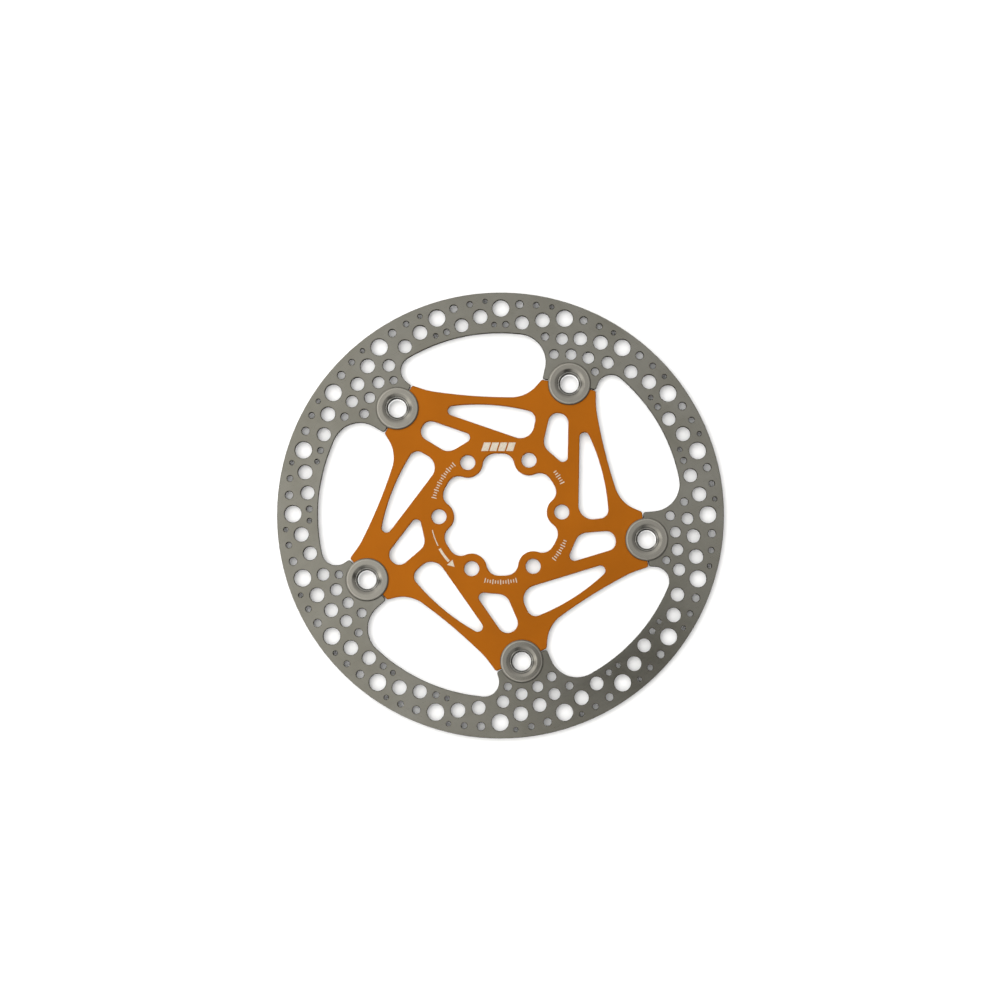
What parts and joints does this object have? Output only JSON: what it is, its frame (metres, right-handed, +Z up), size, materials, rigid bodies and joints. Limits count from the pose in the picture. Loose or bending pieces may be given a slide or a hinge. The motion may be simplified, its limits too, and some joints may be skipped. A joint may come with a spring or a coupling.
{
  "type": "brake disc rotor",
  "caption": "Floating bicycle disc brake rotor: drilled steel braking ring on an orange anodised aluminium carrier, joined by turning hollow rivets.",
  "frame": {"origin": "centre of the bolt circle, on the face that rests against the hub", "axes": "+Y along the wheel's axis from the rotor towards the hub, so the front of the rotor faces -Y; X and Z lie in the disc's plane, +Z up"},
  "size_m": [0.16, 0.0044, 0.16],
  "materials": {
    "track_steel": "ground stainless steel, fine grain",
    "carrier_anodised": "satin orange anodising on machined aluminium",
    "etched_mark": "bare metal where a laser has burnt the anodising away",
    "button_steel": "turned stainless steel",
    "rivet_steel": "bright flared tube",
    "spring_steel": "spring strip",
    "washer_steel": "stamped stainless steel"
  },
  "bodies": {
    "carrier": {"carrier": "carrier_anodised"},
    "brake_track": {"brake_track": "track_steel"},
    "rivet_stack_1": {"button_1": "button_steel", "rivet_1": "rivet_steel", "wave_washer_1": "spring_steel", "backing_washer_1": "washer_steel"},
    "rivet_stack_2": {"button_2": "button_steel", "rivet_2": "rivet_steel", "wave_washer_2": "spring_steel", "backing_washer_2": "washer_steel"},
    "rivet_stack_3": {"button_3": "button_steel", "rivet_3": "rivet_steel", "wave_washer_3": "spring_steel", "backing_washer_3": "washer_steel"},
    "rivet_stack_4": {"button_4": "button_steel", "rivet_4": "rivet_steel", "wave_washer_4": "spring_steel", "backing_washer_4": "washer_steel"},
    "rivet_stack_5": {"button_5": "button_steel", "rivet_5": "rivet_steel", "wave_washer_5": "spring_steel", "backing_washer_5": "washer_steel"}
  },
  "joints": [
    {"name": "track_float", "type": "slide", "parent": "carrier", "child": "brake_track", "axis": [0, 1, 0], "range_m": [-0.0001, 0.0001]},
    {"name": "rivet_1_spin", "type": "hinge", "parent": "carrier", "child": "rivet_stack_1", "pos_m": [0.02476, 0, 0.04697], "axis": [0, 1, 0], "continuous": true},
    {"name": "rivet_2_spin", "type": "hinge", "parent": "carrier", "child": "rivet_stack_2", "pos_m": [-0.03702, 0, 0.03807], "axis": [0, 1, 0], "continuous": true},
    {"name": "rivet_3_spin", "type": "hinge", "parent": "carrier", "child": "rivet_stack_3", "pos_m": [-0.04764, 0, -0.02344], "axis": [0, 1, 0], "continuous": true},
    {"name": "rivet_4_spin", "type": "hinge", "parent": "carrier", "child": "rivet_stack_4", "pos_m": [0.00757, 0, -0.05256], "axis": [0, 1, 0], "continuous": true},
    {"name": "rivet_5_spin", "type": "hinge", "parent": "carrier", "child": "rivet_stack_5", "pos_m": [0.05233, 0, -0.00904], "axis": [0, 1, 0], "continuous": true}
  ]
}
